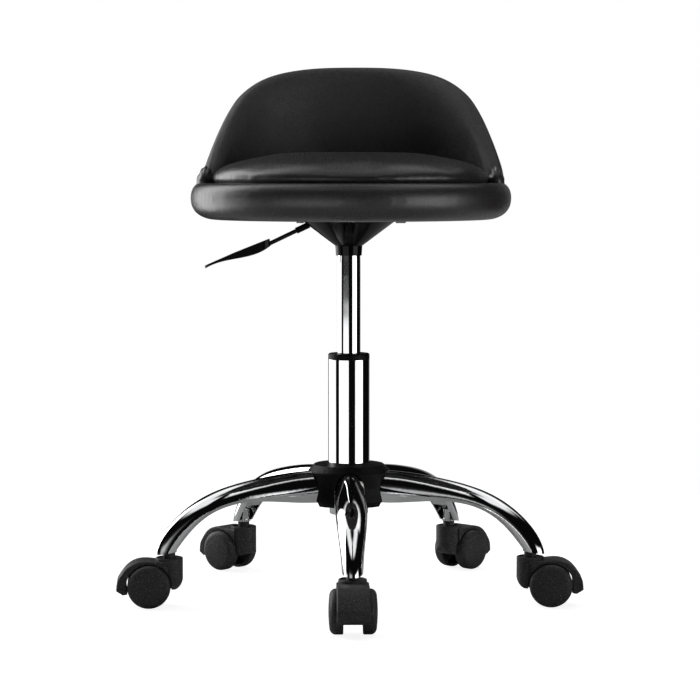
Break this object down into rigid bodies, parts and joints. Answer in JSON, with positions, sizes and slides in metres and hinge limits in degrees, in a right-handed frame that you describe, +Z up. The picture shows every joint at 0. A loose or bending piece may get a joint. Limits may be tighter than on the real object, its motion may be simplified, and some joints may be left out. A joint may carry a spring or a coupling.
{
  "type": "rolling stylist stool",
  "caption": "Height-adjustable salon stool: padded round seat with a low wrap-around back, gas lift and lever, on a chrome star base with swivelling twin-wheel casters.",
  "frame": {"origin": "on the floor, on the axis of the column", "axes": "+Z up along the column; the back stands on the +Y side and the front faces -Y; the lever points to -X"},
  "size_m": [0.5546, 0.526, 0.645],
  "materials": {
    "chrome": "polished",
    "chrome_plate": "satin",
    "hub_plastic": "matte",
    "caster_plastic": "matte",
    "cone_gloss": "gloss",
    "lever_black": "satin",
    "lever_steel": "satin",
    "raw_steel": "satin",
    "black_steel": "satin",
    "guide_plastic": "satin",
    "buffer_rubber": "matte",
    "plywood": "matte",
    "leather_black": "satin",
    "cloth_black": "matte"
  },
  "bodies": {
    "base": {"hub_cover": "hub_plastic", "hub_sleeve": "raw_steel", "arm_front": "chrome", "arm_front_right": "chrome", "arm_back_right": "chrome", "arm_back_left": "chrome", "arm_front_left": "chrome", "arm_closing_plates": "chrome_plate", "caster_sockets": "chrome", "caster_stems": "raw_steel", "stem_clips": "raw_steel", "column_tube": "chrome", "guide_bush": "hub_plastic", "bearing_lower_race": "raw_steel"},
    "piston_and_rod": {"piston_rod": "raw_steel", "piston": "raw_steel", "rod_clip": "raw_steel", "bearing_balls": "raw_steel", "bearing_upper_race": "raw_steel", "rubber_buffer": "buffer_rubber"},
    "seat": {"gas_cylinder": "chrome", "rod_guide": "guide_plastic", "seat_socket": "cone_gloss", "seat_cone": "cone_gloss", "seat_plate": "black_steel", "plate_bolts": "raw_steel", "tee_nuts": "raw_steel", "lever_bracket": "black_steel", "lever_pin": "raw_steel", "seat_board": "plywood", "dust_cover": "cloth_black", "seat_rim": "leather_black", "seat_cushion": "leather_black", "back_core": "plywood", "back_screws": "raw_steel", "back_pad": "leather_black"},
    "lever": {"lever_rod": "lever_steel", "lever_sleeve": "lever_black", "lever_grip": "lever_black"},
    "valve": {"valve_pin": "raw_steel"},
    "caster_front": {"caster_front_housing": "caster_plastic", "caster_front_axle": "raw_steel"},
    "caster_front_wheel_a": {"caster_front_wheel_a": "caster_plastic"},
    "caster_front_wheel_b": {"caster_front_wheel_b": "caster_plastic"},
    "caster_front_right": {"caster_front_right_housing": "caster_plastic", "caster_front_right_axle": "raw_steel"},
    "caster_front_right_wheel_a": {"caster_front_right_wheel_a": "caster_plastic"},
    "caster_front_right_wheel_b": {"caster_front_right_wheel_b": "caster_plastic"},
    "caster_back_right": {"caster_back_right_housing": "caster_plastic", "caster_back_right_axle": "raw_steel"},
    "caster_back_right_wheel_a": {"caster_back_right_wheel_a": "caster_plastic"},
    "caster_back_right_wheel_b": {"caster_back_right_wheel_b": "caster_plastic"},
    "caster_back_left": {"caster_back_left_housing": "caster_plastic", "caster_back_left_axle": "raw_steel"},
    "caster_back_left_wheel_a": {"caster_back_left_wheel_a": "caster_plastic"},
    "caster_back_left_wheel_b": {"caster_back_left_wheel_b": "caster_plastic"},
    "caster_front_left": {"caster_front_left_housing": "caster_plastic", "caster_front_left_axle": "raw_steel"},
    "caster_front_left_wheel_a": {"caster_front_left_wheel_a": "caster_plastic"},
    "caster_front_left_wheel_b": {"caster_front_left_wheel_b": "caster_plastic"}
  },
  "joints": [
    {"name": "seat_swivel", "type": "hinge", "parent": "base", "child": "piston_and_rod", "pos_m": [0, 0, 0.10855], "axis": [0, 0, 1], "continuous": true},
    {"name": "seat_lift", "type": "slide", "parent": "piston_and_rod", "child": "seat", "axis": [0, 0, 1], "range_m": [-0.11, 0]},
    {"name": "lever_pull", "type": "hinge", "parent": "seat", "child": "lever", "pos_m": [-0.026, 0, 0.4525], "axis": [0, 1, 0], "range_deg": [0, 5.5], "stiffness_Nm_per_rad": 2, "springref_deg": -5.73},
    {"name": "valve_press", "type": "slide", "parent": "seat", "child": "valve", "axis": [0, 0, -1], "range_m": [0, 0.0025]},
    {"name": "caster_front_swivel", "type": "hinge", "parent": "base", "child": "caster_front", "pos_m": [0, -0.225, 0.045], "axis": [0, 0, 1], "continuous": true},
    {"name": "caster_front_wheel_a_spin", "type": "hinge", "parent": "caster_front", "child": "caster_front_wheel_a", "pos_m": [0, -0.249, 0.0255], "axis": [1, 0, 0], "continuous": true},
    {"name": "caster_front_wheel_b_spin", "type": "hinge", "parent": "caster_front", "child": "caster_front_wheel_b", "pos_m": [0, -0.249, 0.0255], "axis": [1, 0, 0], "continuous": true},
    {"name": "caster_front_right_swivel", "type": "hinge", "parent": "base", "child": "caster_front_right", "pos_m": [0.21399, -0.06953, 0.045], "axis": [0, 0, 1], "continuous": true},
    {"name": "caster_front_right_wheel_a_spin", "type": "hinge", "parent": "caster_front_right", "child": "caster_front_right_wheel_a", "pos_m": [0.23795, -0.07078, 0.0255], "axis": [0.0523, 0.9986, 0], "continuous": true},
    {"name": "caster_front_right_wheel_b_spin", "type": "hinge", "parent": "caster_front_right", "child": "caster_front_right_wheel_b", "pos_m": [0.23795, -0.07078, 0.0255], "axis": [0.0523, 0.9986, 0], "continuous": true},
    {"name": "caster_back_right_swivel", "type": "hinge", "parent": "base", "child": "caster_back_right", "pos_m": [0.13225, 0.18203, 0.045], "axis": [0, 0, 1], "continuous": true},
    {"name": "caster_back_right_wheel_a_spin", "type": "hinge", "parent": "caster_back_right", "child": "caster_back_right_wheel_a", "pos_m": [0.14922, 0.199, 0.0255], "axis": [-0.7071, 0.7071, 0], "continuous": true},
    {"name": "caster_back_right_wheel_b_spin", "type": "hinge", "parent": "caster_back_right", "child": "caster_back_right_wheel_b", "pos_m": [0.14922, 0.199, 0.0255], "axis": [-0.7071, 0.7071, 0], "continuous": true},
    {"name": "caster_back_left_swivel", "type": "hinge", "parent": "base", "child": "caster_back_left", "pos_m": [-0.13225, 0.18203, 0.045], "axis": [0, 0, 1], "continuous": true},
    {"name": "caster_back_left_wheel_a_spin", "type": "hinge", "parent": "caster_back_left", "child": "caster_back_left_wheel_a", "pos_m": [-0.15009, 0.19809, 0.0255], "axis": [-0.6691, -0.7431, 0], "continuous": true},
    {"name": "caster_back_left_wheel_b_spin", "type": "hinge", "parent": "caster_back_left", "child": "caster_back_left_wheel_b", "pos_m": [-0.15009, 0.19809, 0.0255], "axis": [-0.6691, -0.7431, 0], "continuous": true},
    {"name": "caster_front_left_swivel", "type": "hinge", "parent": "base", "child": "caster_front_left", "pos_m": [-0.21399, -0.06953, 0.045], "axis": [0, 0, 1], "continuous": true},
    {"name": "caster_front_left_wheel_a_spin", "type": "hinge", "parent": "caster_front_left", "child": "caster_front_left_wheel_a", "pos_m": [-0.23795, -0.07078, 0.0255], "axis": [0.0523, -0.9986, 0], "continuous": true},
    {"name": "caster_front_left_wheel_b_spin", "type": "hinge", "parent": "caster_front_left", "child": "caster_front_left_wheel_b", "pos_m": [-0.23795, -0.07078, 0.0255], "axis": [0.0523, -0.9986, 0], "continuous": true}
  ],
  "couplings": [
    {"joint": "valve_press", "follows": "lever_pull", "m_per_rad": 0.026}
  ]
}
